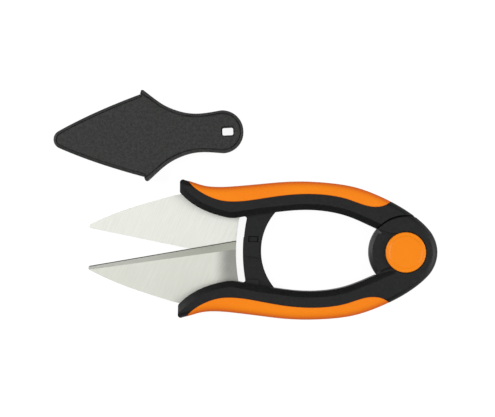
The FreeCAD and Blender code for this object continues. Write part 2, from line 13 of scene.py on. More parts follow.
import bmesh
import bpy
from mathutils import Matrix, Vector


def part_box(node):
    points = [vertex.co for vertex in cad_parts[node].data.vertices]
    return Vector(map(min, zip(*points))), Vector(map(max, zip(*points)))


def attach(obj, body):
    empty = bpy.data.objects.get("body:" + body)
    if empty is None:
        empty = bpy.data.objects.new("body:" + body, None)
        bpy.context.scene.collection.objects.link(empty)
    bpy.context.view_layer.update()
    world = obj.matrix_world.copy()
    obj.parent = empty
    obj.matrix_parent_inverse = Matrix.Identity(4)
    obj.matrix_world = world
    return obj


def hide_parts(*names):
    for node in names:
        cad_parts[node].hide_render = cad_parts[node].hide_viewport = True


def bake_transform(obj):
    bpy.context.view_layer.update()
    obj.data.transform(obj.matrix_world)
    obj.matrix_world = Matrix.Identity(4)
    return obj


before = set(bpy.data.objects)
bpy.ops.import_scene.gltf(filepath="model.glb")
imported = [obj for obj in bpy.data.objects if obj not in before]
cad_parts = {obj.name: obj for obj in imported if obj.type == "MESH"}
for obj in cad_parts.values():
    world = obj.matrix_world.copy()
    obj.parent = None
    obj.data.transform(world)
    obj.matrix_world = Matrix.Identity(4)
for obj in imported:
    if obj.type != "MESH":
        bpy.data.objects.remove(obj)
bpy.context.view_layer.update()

LOG = logging.getLogger("snips")
MM = 0.001

Colour = tuple[float, float, float]
Span = tuple[float, float]
Socket = bpy.types.NodeSocket
Value = Union[float, Colour, Socket]

WHITE = (1.0, 1.0, 1.0, 1.0)

# Softened edges: cosine of the fold between the flat and the rounded normal, from untouched to fully worn.
EDGE_SPAN = (0.995, 0.80)
EDGE_SAMPLES = 6

# Mould grain: share of the fine and the coarse pits, and how much coarser the coarse ones are.
FINE_PITS = 0.65
COARSE_PITS = 0.35
COARSE_SCALE = 0.31
PIT_SPAN = (0.35, 0.65)

# Wear: patches per metre along worn edges, which on plastics also carry a painted highlight, and of smudges,
# and the part of the noise that shows.
RUB_PATCHES = 260.0
RUB_SPAN = (0.42, 0.62)
SMUDGES = 45.0
SMUDGE_SPAN = (0.3, 0.7)

# Grinding lines: how fine they are along, across and through the blade, and the share of each kind.
FINE_LINES = (8200.0, 130.0, 800.0)
DEEP_LINES = (3000.0, 55.0, 800.0)
FINE_LINE_SHARE = 0.6
DEEP_LINE_SHARE = 0.4
LINE_SPAN = (0.3, 0.7)

# How strongly the effects tint and dull a plastic; the edge tint is partly worn edges and partly a painted
# highlight, and the grazing span is where the painted shade on surfaces turning away starts and is full.
SMUDGE_TINT = 0.6
RUB_AND_HIGHLIGHT_TINT = 0.55
SMUDGE_DULLS = 0.08
RUB_SHINES = 0.10
GRAZING_SPAN = (0.03, 0.5)

# The same for steel, where the slope darkens along X from the tip to the heel, and the painted dark
# reflection towards the heel is broken up by smudges.
STEEL_SMUDGE_TINT = 0.25
STEEL_LINE_DULLS = 0.12
HEEL_UNEVEN = 0.85
SLOPE_SPAN = (-0.145, -0.085)
ZONE_SLOPE = 0.25
ZONE_HONED = 0.75

# Meshes: points closer than MERGE are one, and faces that fold less than COPLANAR are one. A plate's faces
# point up or down by more than STRAIGHT, and faces that do by more than LEVEL are shaded flat.
MERGE = 0.004 * MM
CAP_MERGE = 0.001 * MM
COPLANAR = math.radians(1.0)
STRAIGHT = 0.999
LEVEL = 0.9995

# Heights between which the hub is hollow, where the spring and the washers move.
HOLLOW = (2.6 * MM, 9.9 * MM)


class Slot(Enum):
    """Material slots of the record, one given to each piece."""

    ARM = "arm_nylon"
    GRIP = "soft_grip"
    BLADE = "blade_steel"
    SPRING = "spring_steel"
    CAP = "cap_plastic"
    COVER = "cover_plastic"


class Graph:
    """A node tree under construction, with one short call for each kind of node the finishes use."""

    def __init__(self, tree: bpy.types.NodeTree) -> None:
        """Starts on a node tree."""
        self.tree = tree

    def node(self, kind: str, **settings: object) -> bpy.types.Node:
        """Adds a node.

        Args:
            kind: Blender's type name for the node.
            **settings: properties to set on it.

        Returns:
            The new node.
        """
        made = self.tree.nodes.new(kind)
        for name, value in settings.items():
            setattr(made, name, value)
        return made

    def feed(self, target: Socket, value: Value) -> None:
        """Links value into target if it is a socket, and sets it as a constant otherwise.

        Args:
            target: the input to fill.
            value: a socket, a number, a vector or a colour.
        """
        if isinstance(value, bpy.types.NodeSocket):
            self.tree.links.new(value, target)
        elif isinstance(value, tuple) and len(value) == 3 and target.type == "RGBA":
            target.default_value = (*value, 1.0)
        else:
            target.default_value = value

    def math(self, operation: str, a: Value, b: Value) -> Socket:
        """One arithmetic step on two values.

        Args:
            operation: Blender's name for the step.
            a: the first value.
            b: the second value.

        Returns:
            The result.
        """
        made = self.node("ShaderNodeMath", operation=operation)
        self.feed(made.inputs[0], a)
        self.feed(made.inputs[1], b)
        return made.outputs[0]

    def remap(self, value: Value, span: Span, low: float = 0.0, high: float = 1.0) -> Socket:
        """Maps a span onto low..high smoothly, holding the ends.

        Args:
            value: the value to map.
            span: where it gives low and where it gives high.
            low: the result at the start of the span.
            high: the result at its end.

        Returns:
            The mapped value.
        """
        made = self.node("ShaderNodeMapRange", interpolation_type="SMOOTHSTEP")
        for socket, given in zip(made.inputs, (value, *span, low, high)):
            self.feed(socket, given)
        return made.outputs[0]

    def noise(self, vector: Value, scale: Value, detail: float = 3.0, roughness: float = 0.55) -> Socket:
        """Soft noise between 0 and 1.

        Args:
            vector: the coordinates.
            scale: patches per metre.
            detail: how many finer layers it has.
            roughness: how strong those layers are.

        Returns:
            The noise.
        """
        made = self.node("ShaderNodeTexNoise")
        self.feed(made.inputs["Vector"], vector)
        self.feed(made.inputs["Scale"], scale)
        self.feed(made.inputs["Detail"], detail)
        self.feed(made.inputs["Roughness"], roughness)
        return made.outputs["Fac"]

    def scaled(self, vector: Value, factors: Colour) -> Socket:
        """The coordinates multiplied along each axis.

        Args:
            vector: the coordinates.
            factors: one factor for each axis.

        Returns:
            The stretched coordinates.
        """
        made = self.node("ShaderNodeMapping", vector_type="POINT")
        self.feed(made.inputs["Vector"], vector)
        made.inputs["Scale"].default_value = factors
        return made.outputs["Vector"]

    def blend(self, factor: Value, a: Value, b: Value) -> Socket:
        """Mixes two colours.

        Args:
            factor: 0 for the first, 1 for the second.
            a: the first colour.
            b: the second colour.

        Returns:
            The mixed colour.
        """
        made = self.node("ShaderNodeMix", data_type="RGBA")
        self.feed(made.inputs[0], factor)
        self.feed(made.inputs[6], a)
        self.feed(made.inputs[7], b)
        return made.outputs[2]

    def bump(self, height: Value, depth: Value, normal: Socket) -> Socket:
        """A normal tilted by height.

        Args:
            height: the relief, 0 to 1.
            depth: what a height of 1 stands for, in metres.
            normal: the normal to tilt.

        Returns:
            The tilted normal.
        """
        made = self.node("ShaderNodeBump")
        self.feed(made.inputs["Strength"], 1.0)
        self.feed(made.inputs["Distance"], depth)
        self.feed(made.inputs["Height"], height)
        self.feed(made.inputs["Normal"], normal)
        return made.outputs["Normal"]

    def group(self, shared: bpy.types.NodeTree, **values: Value) -> bpy.types.Node:
        """Adds a shared effect and feeds its inputs by name.

        Args:
            shared: the effect.
            **values: its inputs.

        Returns:
            The group's node.
        """
        made = self.node("ShaderNodeGroup", node_tree=shared)
        for name, value in values.items():
            self.feed(made.inputs[name.capitalize()], value)
        return made


def shared_group(
    name: str, inputs: dict[str, tuple[str, object]], outputs: dict[str, str]
) -> tuple[Graph, bpy.types.Node, bpy.types.Node]:
    """Starts a node group with a typed interface.

    Args:
        name: the group's name.
        inputs: socket name to (socket type, default value).
        outputs: socket name to socket type.

    Returns:
        The graph inside the group, its input node and its output node.
    """
    tree = bpy.data.node_groups.new(name, "ShaderNodeTree")
    for label, (kind, default) in inputs.items():
        socket = tree.interface.new_socket(name=label, in_out="INPUT", socket_type=kind)
        if default is not None:
            socket.default_value = default
    for label, kind in outputs.items():
        tree.interface.new_socket(name=label, in_out="OUTPUT", socket_type=kind)
    graph = Graph(tree)
    return graph, graph.node("NodeGroupInput"), graph.node("NodeGroupOutput")


def soft_edges() -> bpy.types.NodeTree:
    """Rounds hard edges in the shading, and says where they are.

    Returns:
        The shared effect.
    """
    g, source, result = shared_group(
        "soft_edges",
        {"Radius": ("NodeSocketFloat", 0.0003)},
        {"Normal": "NodeSocketVector", "Edge": "NodeSocketFloat"},
    )
    bevel = g.node("ShaderNodeBevel", samples=EDGE_SAMPLES)
    g.feed(bevel.inputs["Radius"], source.outputs["Radius"])
    flat = g.node("ShaderNodeNewGeometry")
    dot = g.node("ShaderNodeVectorMath", operation="DOT_PRODUCT")
    g.feed(dot.inputs[0], bevel.outputs["Normal"])
    g.feed(dot.inputs[1], flat.outputs["Normal"])
    g.feed(result.inputs["Normal"], bevel.outputs["Normal"])
    g.feed(result.inputs["Edge"], g.remap(dot.outputs["Value"], EDGE_SPAN))
    return g.tree


def moulded_grain() -> bpy.types.NodeTree:
    """Fine spark-eroded mould grain: small round pits at two scales.

    Returns:
        The shared effect.
    """
    g, source, result = shared_group(
        "moulded_grain",
        {
            "Vector": ("NodeSocketVector", None),
            "Pitch": ("NodeSocketFloat", 0.0004),
            "Depth": ("NodeSocketFloat", 0.00002),
            "Normal": ("NodeSocketVector", None),
        },
        {"Normal": "NodeSocketVector", "Height": "NodeSocketFloat"},
    )
    at, depth, normal = (source.outputs[name] for name in ("Vector", "Depth", "Normal"))
    scale = g.math("DIVIDE", 1.0, source.outputs["Pitch"])
    fine = g.noise(at, scale, detail=2.0, roughness=0.6)
    coarse = g.noise(at, g.math("MULTIPLY", scale, COARSE_SCALE), detail=1.0)
    height = g.math("ADD", g.math("MULTIPLY", fine, FINE_PITS), g.math("MULTIPLY", coarse, COARSE_PITS))
    g.feed(result.inputs["Normal"], g.bump(height, depth, normal))
    g.feed(result.inputs["Height"], g.remap(height, PIT_SPAN))
    return g.tree


def handling_wear() -> bpy.types.NodeTree:
    """Broken-up rubbing along edges, which plastics lighten as worn spots and as a painted highlight, and
    faint smudges over the faces.

    Returns:
        The shared effect.
    """
    g, source, result = shared_group(
        "handling_wear",
        {"Vector": ("NodeSocketVector", None), "Edge": ("NodeSocketFloat", 0.0)},
        {"Rubbed_and_highlit": "NodeSocketFloat", "Smudge": "NodeSocketFloat"},
    )
    at = source.outputs["Vector"]
    patch = g.remap(g.noise(at, RUB_PATCHES, detail=4.0), RUB_SPAN)
    g.feed(result.inputs["Rubbed_and_highlit"], g.math("MULTIPLY", source.outputs["Edge"], patch))
    g.feed(result.inputs["Smudge"], g.remap(g.noise(at, SMUDGES, detail=5.0), SMUDGE_SPAN))
    return g.tree


def brushed_lines() -> bpy.types.NodeTree:
    """Fine grinding lines across a blade, with a few that are deeper.

    Returns:
        The shared effect.
    """
    g, source, result = shared_group(
        "brushed_lines",
        {
            "Vector": ("NodeSocketVector", None),
            "Turn": ("NodeSocketFloat", 0.0),
            "Depth": ("NodeSocketFloat", 0.000004),
            "Normal": ("NodeSocketVector", None),
        },
        {"Normal": "NodeSocketVector", "Line": "NodeSocketFloat"},
    )
    turned = g.node("ShaderNodeVectorRotate", rotation_type="Z_AXIS")
    g.feed(turned.inputs["Vector"], source.outputs["Vector"])
    g.feed(turned.inputs["Angle"], source.outputs["Turn"])
    fine = g.noise(g.scaled(turned.outputs["Vector"], FINE_LINES), 1.0, detail=2.0)
    deep = g.noise(g.scaled(turned.outputs["Vector"], DEEP_LINES), 1.0, detail=1.0)
    line = g.math(
        "ADD", g.math("MULTIPLY", fine, FINE_LINE_SHARE), g.math("MULTIPLY", deep, DEEP_LINE_SHARE)
    )
    g.feed(result.inputs["Normal"], g.bump(line, source.outputs["Depth"], source.outputs["Normal"]))
    g.feed(result.inputs["Line"], g.remap(line, LINE_SPAN))
    return g.tree


@dataclass
class Effects:
    """The shared effects, built once and placed in each material."""

    edges: bpy.types.NodeTree
    grain: bpy.types.NodeTree
    wear: bpy.types.NodeTree
    brushed: bpy.types.NodeTree

    @classmethod
    def make(cls) -> "Effects":
        """Builds every shared node group."""
        return cls(edges=soft_edges(), grain=moulded_grain(), wear=handling_wear(), brushed=brushed_lines())


def ink(red: int, green: int, blue: int) -> Colour:
    """A linear colour from the 0..255 numbers it is usually written in.

    Args:
        red: red as displayed.
        green: green as displayed.
        blue: blue as displayed.

    Returns:
        The linear colour.
    """

    def linear(value: int) -> float:
        """One channel, from display to linear, by the sRGB curve."""
        share = value / 255.0
        return share / 12.92 if share <= 0.04045 else ((share + 0.055) / 1.055) ** 2.4

    return linear(red), linear(green), linear(blue)


def start_material(name: str) -> tuple[bpy.types.Material, Graph, bpy.types.Node, Socket]:
    """A new node material.

    Args:
        name: its name.

    Returns:
        The material, its graph, its Principled shader and its Object coordinates.
    """
    material = bpy.data.materials.new(name)
    material.use_nodes = True
    graph = Graph(material.node_tree)
    shader = next(n for n in material.node_tree.nodes if n.type == "BSDF_PRINCIPLED")
    coordinates = graph.node("ShaderNodeTexCoord").outputs["Object"]
    return material, graph, shader, coordinates


@dataclass(frozen=True)
class Moulded:
    """A moulded plastic or rubber.

    Attributes:
        name: the material's name.
        colour: its colour on flat faces.
        rubbed_and_highlit: the colour that edges are worn to and painted with as a highlight; the grain
            lightens towards it too.
        mottled: the colour that smudges drift towards.
        gloss: roughness where it is clean.
        grain_pitch: size of the mould grain.
        grain_depth: depth of the mould grain.
        grain_tone: how far the grain lightens the colour, 0 to 1.
        edge: radius that its hard edges are softened to.
        specular: strength of its plain reflection, 0.5 for ordinary plastic.
        grazing: the deeper colour painted where the surface is seen at a shallow angle, a painted shade of
            its rolled edges, or nothing.
    """

    name: str
    colour: Colour
    rubbed_and_highlit: Colour
    mottled: Colour
    gloss: float = 0.45
    grain_pitch: float = 0.0005
    grain_depth: float = 0.00003
    grain_tone: float = 0.12
    edge: float = 0.0003
    specular: float = 0.5
    grazing: Optional[Colour] = None

    def build(self, effects: Effects) -> bpy.types.Material:
        """Makes the material.

        Args:
            effects: the shared effects.

        Returns:
            The material.
        """
        material, g, shader, at = start_material(self.name)
        edges = g.group(effects.edges, radius=self.edge)
        grain = g.group(
            effects.grain, vector=at, pitch=self.grain_pitch, depth=self.grain_depth,
            normal=edges.outputs["Normal"],
        )
        wear = g.group(effects.wear, vector=at, edge=edges.outputs["Edge"])
        smudge, rubbed_and_highlit = wear.outputs["Smudge"], wear.outputs["Rubbed_and_highlit"]
        base = g.blend(g.math("MULTIPLY", smudge, SMUDGE_TINT), self.colour, self.mottled)
        base = g.blend(g.math("MULTIPLY", grain.outputs["Height"], self.grain_tone), base, self.rubbed_and_highlit)
        # Edges lighten towards the rubbed colour: partly worn edges, partly a painted highlight on rounded
        # edges.
        base = g.blend(g.math("MULTIPLY", rubbed_and_highlit, RUB_AND_HIGHLIGHT_TINT), base, self.rubbed_and_highlit)
        # Painted shade: the colour deepens where the surface turns away from the camera, as on the grip's
        # rolled edges.
        if self.grazing is not None:
            facing = g.node("ShaderNodeLayerWeight").outputs["Facing"]
            base = g.blend(g.remap(facing, GRAZING_SPAN), base, self.grazing)
        g.feed(shader.inputs["Base Color"], base)
        rough = g.math("ADD", self.gloss, g.math("MULTIPLY", smudge, SMUDGE_DULLS))
        rough = g.math("SUBTRACT", rough, g.math("MULTIPLY", rubbed_and_highlit, RUB_SHINES))
        g.feed(shader.inputs["Roughness"], rough)
        g.feed(shader.inputs["Normal"], grain.outputs["Normal"])
        shader.inputs["Specular IOR Level"].default_value = self.specular
        return material


@dataclass(frozen=True)
class Steel:
    """Ground or drawn steel.

    Attributes:
        name: the material's name.
        colour: its colour.
        shaded: its colour in the deeper lines.
        ground: its colour on the ground slope, at the tip.
        shaded_ground: its colour on the ground slope, at the heel.
        honed: its colour on the narrow honed edge, made dark as a painted shade of the cutting edge; also the
            tone of the painted reflection at the heel.
        gloss: roughness across the face.
        turn: angle of the grinding lines from square across the blade.
        contrast: how clearly the lines show, 0 to 1.
        depth: depth of the grinding lines.
        edge: radius that its hard edges are softened to.
        heel: span along X over which the face is painted darker towards the heel, a painted dark reflection
            of the arm's bridge, and how far, or nothing.
    """

    name: str
    colour: Colour
    shaded: Colour
    ground: Colour
    shaded_ground: Colour
    honed: Colour
    gloss: float = 0.36
    turn: float = 0.0
    contrast: float = 0.6
    depth: float = 0.000003
    edge: float = 0.0001
    heel: Optional[tuple[float, float, float]] = None

    def build(self, effects: Effects) -> bpy.types.Material:
        """Makes the material.

        Args:
            effects: the shared effects.

        Returns:
            The material.
        """
        material, g, shader, at = start_material(self.name)
        edges = g.group(effects.edges, radius=self.edge)
        lines = g.group(
            effects.brushed, vector=at, turn=self.turn, depth=self.depth, normal=edges.outputs["Normal"]
        )
        wear = g.group(effects.wear, vector=at, edge=edges.outputs["Edge"])
        base = g.blend(g.math("MULTIPLY", lines.outputs["Line"], self.contrast), self.colour, self.shaded)
        smudge = wear.outputs["Smudge"]
        base = g.blend(g.math("MULTIPLY", smudge, STEEL_SMUDGE_TINT), base, self.shaded)
        split = g.node("ShaderNodeSeparateXYZ")
        g.feed(split.inputs[0], at)
        # Painted reflection: the face darkens towards the heel, to the honed edge's tone, unevenly by the
        # smudge noise.
        if self.heel is not None:
            start, end, most = self.heel
            dark = g.remap(split.outputs["X"], (start, end), 0.0, most)
            painted_heel_reflection = g.math("MULTIPLY", dark, g.remap(smudge, (0.0, 1.0), HEEL_UNEVEN, 1.0))
            base = g.blend(painted_heel_reflection, base, self.honed)
        zone = g.node("ShaderNodeAttribute", attribute_name="zone").outputs["Fac"]
        slope = g.blend(g.remap(split.outputs["X"], SLOPE_SPAN), self.ground, self.shaded_ground)
        base = g.blend(g.math("GREATER_THAN", zone, ZONE_SLOPE), base, slope)
        # The honed strip is a real facet; its dark colour is painted shade along the cutting edge.
        base = g.blend(g.math("GREATER_THAN", zone, ZONE_HONED), base, self.honed)
        g.feed(shader.inputs["Base Color"], base)
        rough = g.math("ADD", self.gloss, g.math("MULTIPLY", lines.outputs["Line"], STEEL_LINE_DULLS))
        g.feed(shader.inputs["Roughness"], rough)
        g.feed(shader.inputs["Normal"], lines.outputs["Normal"])
        shader.inputs["Metallic"].default_value = 1.0
        return material


# The rubbed colours, lighter than each plastic, stand for worn edges and for a painted highlight along them.
BLACK_NYLON = Moulded(
    "black_nylon", ink(10, 11, 11), ink(54, 55, 54), ink(6, 7, 7),
    gloss=0.34, grain_pitch=0.0005, grain_depth=0.00009, grain_tone=0.15, edge=0.0002, specular=0.25,
)
# The grip's grazing colour is a painted shade of its rolled edges.
ORANGE_GRIP = Moulded(
    "orange_grip", ink(245, 133, 6), ink(249, 152, 38), ink(242, 122, 8),
    gloss=0.55, grain_pitch=0.0004, grain_depth=0.000015, edge=0.0004, specular=0.18,
    grazing=ink(242, 112, 26),
)
ORANGE_CAP = Moulded(
    "orange_cap", ink(244, 134, 4), ink(250, 160, 50), ink(243, 130, 4),
    gloss=0.26, grain_pitch=0.0004, grain_depth=0.000006, grain_tone=0.05, edge=0.0002, specular=0.22,
)
CHARCOAL_COVER = Moulded(
    "charcoal_cover", ink(25, 27, 25), ink(92, 94, 91), ink(21, 23, 21),
    gloss=0.40, grain_pitch=0.00042, grain_depth=0.00010, grain_tone=0.23, edge=0.0002, specular=0.30,
)
BLACK_WASHER = Moulded(
    "black_washer", ink(30, 31, 31), ink(58, 58, 58), ink(26, 27, 27), gloss=0.35,
)
# The outer blade's heel span paints a dark reflection towards its heel.
OUTER_STEEL = Steel(
    "blade_steel_outer", ink(217, 218, 210), ink(204, 205, 197), ink(212, 213, 206), ink(182, 184, 173),
    ink(92, 94, 90), gloss=0.58, turn=math.radians(24.0), contrast=0.3, depth=0.000001,
    heel=(-0.0908, -0.0832, 0.64),
)
INNER_STEEL = Steel(
    "blade_steel_inner", ink(231, 232, 226), ink(214, 215, 208), ink(212, 213, 206), ink(182, 184, 173),
    ink(92, 94, 90), gloss=0.58, turn=math.radians(24.0), contrast=0.55, depth=0.0000015,
)
SPRING_WIRE = Steel(
    "spring_wire", ink(188, 189, 190), ink(140, 141, 144), ink(188, 189, 190), ink(188, 189, 190),
    ink(170, 171, 172), gloss=0.28,
)
TURNED_STEEL = Steel(
    "turned_steel", ink(178, 179, 180), ink(140, 141, 142), ink(178, 179, 180), ink(178, 179, 180),
    ink(165, 166, 168), gloss=0.3,
)


def coat(piece: bpy.types.Object, material: bpy.types.Material) -> None:
    """Gives one piece one material all over.

    Args:
        piece: the piece.
        material: its finish.
    """
    piece.data.materials.clear()
    piece.data.materials.append(material)


@dataclass
class Piece:
    """A piece modelled over a CAD solid, which it stands for.

    Attributes:
        node: the CAD node.
        body: the body it rides on.
        slot: the record's material slot; not used.
        radius: how far its corner rounding reaches, in metres.
        steps: segments across the rounding.
        sharp: edges that fold by more than this are rounded, in degrees.
        crease: edges that still fold by more than this stay crisp, in degrees.
        hidden: edges inside the pivot, closer to its axis than this, keep their clearance and stay square.
    """

    node: str
    body: str
    slot: Slot
    radius: float = 0.4 * MM
    steps: int = 3
    sharp: float = 24.0
    crease: float = 32.0
    hidden: float = 0.0

    def form(self) -> bmesh.types.BMesh:
        """The solid as one merged mesh with whole faces.

        Returns:
            A new bmesh.
        """
        form = bmesh.new()
        form.from_mesh(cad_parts[self.node].data)
        bmesh.ops.remove_doubles(form, verts=form.verts[:], dist=MERGE)
        bmesh.ops.dissolve_limit(
            form, angle_limit=COPLANAR, verts=form.verts[:], edges=form.edges[:],
            use_dissolve_boundaries=False,
        )
        return form

    def is_hidden(self, edge: bmesh.types.BMEdge) -> bool:
        """Whether an edge lies inside the pivot, where the spring and the washers move."""
        middle = (edge.verts[0].co + edge.verts[1].co) / 2
        return math.hypot(middle.x, middle.y) < self.hidden and HOLLOW[0] < middle.z < HOLLOW[1]

    def soften(self, form: bmesh.types.BMesh) -> None:
        """Rounds the folds sharper than the limit.

        Args:
            form: the mesh to work on.
        """
        limit = math.radians(self.sharp)
        folds = [
            e for e in form.edges
            if e.is_manifold and e.calc_face_angle(0.0) > limit and not self.is_hidden(e)
        ]
        bmesh.ops.bevel(
            form, geom=folds, offset=self.radius, offset_type="OFFSET", affect="EDGES", segments=self.steps,
            profile=0.5, material=-1, clamp_overlap=True, miter_outer="ARC", harden_normals=False,
        )

    def detail(self, form: bmesh.types.BMesh) -> None:
        """Work on the mesh after its corners are rounded; a plain piece has none."""

    def shade(self, mesh: bpy.types.Mesh) -> None:
        """Shades smooth up to the crisp edges, and keeps level faces flat.

        Args:
            mesh: the finished mesh.
        """
        mesh.set_sharp_from_angle(angle=math.radians(self.crease))
        for face in mesh.polygons:
            face.use_smooth = abs(face.normal.z) < LEVEL

    def build(self, material: bpy.types.Material) -> bpy.types.Object:
        """Models the piece and puts it in its node's place.

        Args:
            material: its finish.

        Returns:
            The new piece.
        """
        form = self.form()
        self.soften(form)
        self.detail(form)
        mesh = bpy.data.meshes.new(self.node + "_piece")
        form.to_mesh(mesh)
        form.free()
        self.shade(mesh)
        piece = bpy.data.objects.new(self.node + "_piece", mesh)
        bpy.context.scene.collection.objects.link(piece)
        coat(piece, material)
        self.join(piece)
        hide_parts(self.node)
        LOG.info("%s: %d faces, %s", piece.name, len(mesh.polygons), material.name)
        return piece

    def join(self, piece: bpy.types.Object) -> None:
        """Makes the finished piece move with its body."""
        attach(piece, self.body)


@dataclass
class SpringPiece(Piece):
    """The opening spring, whose lower leg goes with one arm and upper leg with the other while its coil
    twists; here it stays one mesh that moves with neither arm.

    Attributes:
        other: the body that the lower leg goes with; not used.
        wire: diameter of the wire; not used.
    """

    other: str = "moving_arm"
    wire: float = 1.1 * MM

    def join(self, piece: bpy.types.Object) -> None:
        """Bakes the spring's placement into its mesh; it rides on neither arm and does not twist.

        Args:
            piece: the finished spring.
        """
        low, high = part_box(self.node)
        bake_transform(piece)


@dataclass
class CoverPiece(Piece):
    """The blade cover, with the fine groove that runs round each plate just inside its rim.

    Attributes:
        groove_in: from the rim to the groove.
        groove_side: width of each sloped side of the groove.
        groove_floor: width of its floor.
        groove_depth: its depth.
        rim_height: how far the raised rim of the mouth and neck stands above each plate.
        near: a face this close to a plate's level belongs to it.
        least: the plates are the faces larger than this, in square metres.
    """

    groove_in: float = 0.08 * MM
    groove_side: float = 0.11 * MM
    groove_floor: float = 0.32 * MM
    groove_depth: float = 0.6 * MM
    rim_height: float = 0.5 * MM
    near: float = 0.05 * MM
    least: float = 20.0 * MM * MM

    def detail(self, form: bmesh.types.BMesh) -> None:
        """Sinks the groove into the outside of each plate.

        Args:
            form: the mesh to work on.
        """
        low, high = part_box(self.node)
        for level, way in ((high.z - self.rim_height, 1.0), (low.z + self.rim_height, -1.0)):
            plate = [
                f for f in form.faces
                if f.normal.z * way > STRAIGHT and abs(f.calc_center_median().z - level) < self.near
                and f.calc_area() > self.least
            ]
            for width, depth in (
                (self.groove_in, 0.0), (self.groove_side, -self.groove_depth), (self.groove_floor, 0.0),
                (self.groove_side, self.groove_depth),
            ):
                bmesh.ops.inset_region(
                    form, faces=plate, thickness=width, depth=depth, use_boundary=True, use_even_offset=True,
                )


@dataclass
class BladePiece(Piece):
    """A blade, with a narrow honed strip along its cutting edge.

    Its faces carry a number called zone: 0 on the flat, 0.5 on the ground slope and 1 on the honed strip.

    Attributes:
        side: 1 where the ground slope faces up, -1 where it faces down.
        hone_width: width of the honed strip.
        hone_drop: how much thinner the honed edge is.
        slope_span: how far up the slope's normal points, least and most.
        upright: the blade's thin edge faces less far up than this.
        along: how close to the cutting edge a point counts as on it.
        same: how close in height as well.
    """

    side: float = 1.0
    hone_width: float = 0.42 * MM
    hone_drop: float = 0.16 * MM
    slope_span: Span = (0.3, 0.985)
    upright: float = 0.2
    along: float = 0.05 * MM
    same: float = 0.02 * MM

    def is_slope(self, face: bmesh.types.BMFace) -> bool:
        """Whether a face belongs to the ground slope."""
        return self.slope_span[0] < face.normal.z * self.side < self.slope_span[1]

    def form(self) -> bmesh.types.BMesh:
        """The solid with the honed strip cut along its slope.

        Returns:
            A new bmesh.
        """
        form = super().form()
        slopes = [f for f in form.faces if self.is_slope(f)]
        rims = {
            e for f in slopes for e in f.edges
            if e.is_manifold and min(abs(other.normal.z) for other in e.link_faces) < self.upright
        }
        edge = max(rims, key=lambda e: abs(e.verts[0].co.x - e.verts[1].co.x))
        start, end = (v.co.copy() for v in edge.verts)
        middle = sum((f.calc_center_median() for f in slopes), Vector()) / len(slopes)
        across = Vector((end.y - start.y, start.x - end.x, 0.0)).normalized()
        if (middle - start).dot(across) > 0.0:
            across = -across
        bmesh.ops.bisect_plane(
            form, geom=form.verts[:] + form.edges[:] + form.faces[:], dist=1e-7,
            plane_co=start - across * self.hone_width, plane_no=across,
        )
        for vert in form.verts:
            off = (vert.co - start).dot(across)
            if off > -self.along and abs(vert.co.z - start.z) < self.same:
                vert.co.z -= self.side * self.hone_drop
        form.normal_update()
        zone = form.faces.layers.float.new("zone")
        for face in form.faces:
            if self.is_slope(face):
                off = (face.calc_center_median() - start).dot(across)
                face[zone] = 1.0 if off > -self.hone_width else 0.5
        return form


@dataclass
class CapPiece(Piece):
    """The upper pivot cap: a turned disc with a flat ring round a shallow dish.

    Attributes:
        outer: outside radius.
        ring: width of the flat ring.
        step: width of the curve from the ring down into the dish.
        dish: depth of the dish at its rim.
        bowl: how much deeper it is in the middle.
        rounding: radius of the outer edge.
        thick: thickness of the disc.
        turns: segments round it.
        cuts: segments along the dish and along the curve beside it.
        round_cuts: segments across the rounded edge.
    """

    outer: float = 9.5 * MM
    ring: float = 1.35 * MM
    step: float = 0.9 * MM
    dish: float = 0.32 * MM
    bowl: float = 0.28 * MM
    rounding: float = 0.5 * MM
    thick: float = 2.1 * MM
    turns: int = 128
    cuts: int = 8
    round_cuts: int = 6

    def profile(self, top: float) -> list[tuple[float, float]]:
        """The outline from the middle of the dish round to the middle of the underside.

        Args:
            top: height of the ring.

        Returns:
            Radius and height pairs.
        """
        inner = self.outer - self.ring
        flat = inner - self.step
        points = []
        for i in range(self.cuts):
            share = i / self.cuts
            points.append((flat * share, top - self.dish - self.bowl * (1 - share ** 2)))
        for i in range(self.cuts + 1):
            share = i / self.cuts
            ease = share * share * (3 - 2 * share)
            points.append((inner - self.step * (1 - share), top - self.dish * (1 - ease)))
        centre = self.outer - self.rounding
        for i in range(self.round_cuts + 1):
            angle = math.pi / 2 * (1 - i / self.round_cuts)
            height = top - self.rounding + self.rounding * math.sin(angle)
            points.append((centre + self.rounding * math.cos(angle), height))
        points += [(self.outer, top - self.thick), (0.0, top - self.thick)]
        return points

    def form(self) -> bmesh.types.BMesh:
        """The profile turned round the pivot's axis.

        Returns:
            A new bmesh.
        """
        form = bmesh.new()
        verts = [form.verts.new((r, 0.0, z)) for r, z in self.profile(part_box(self.node)[1].z)]
        edges = [form.edges.new(pair) for pair in zip(verts, verts[1:])]
        bmesh.ops.spin(
            form, geom=verts + edges, cent=(0.0, 0.0, 0.0), axis=(0.0, 0.0, 1.0), angle=math.tau,
            steps=self.turns, use_merge=True, use_duplicate=False,
        )
        bmesh.ops.remove_doubles(form, verts=form.verts[:], dist=CAP_MERGE)
        bmesh.ops.recalc_face_normals(form, faces=form.faces[:])
        return form

    def soften(self, form: bmesh.types.BMesh) -> None:
        """Leaves the mesh alone, because the profile already has its roundings."""

    def shade(self, mesh: bpy.types.Mesh) -> None:
        """Shades the whole cap smooth up to its crisp edges."""
        mesh.set_sharp_from_angle(angle=math.radians(self.crease))


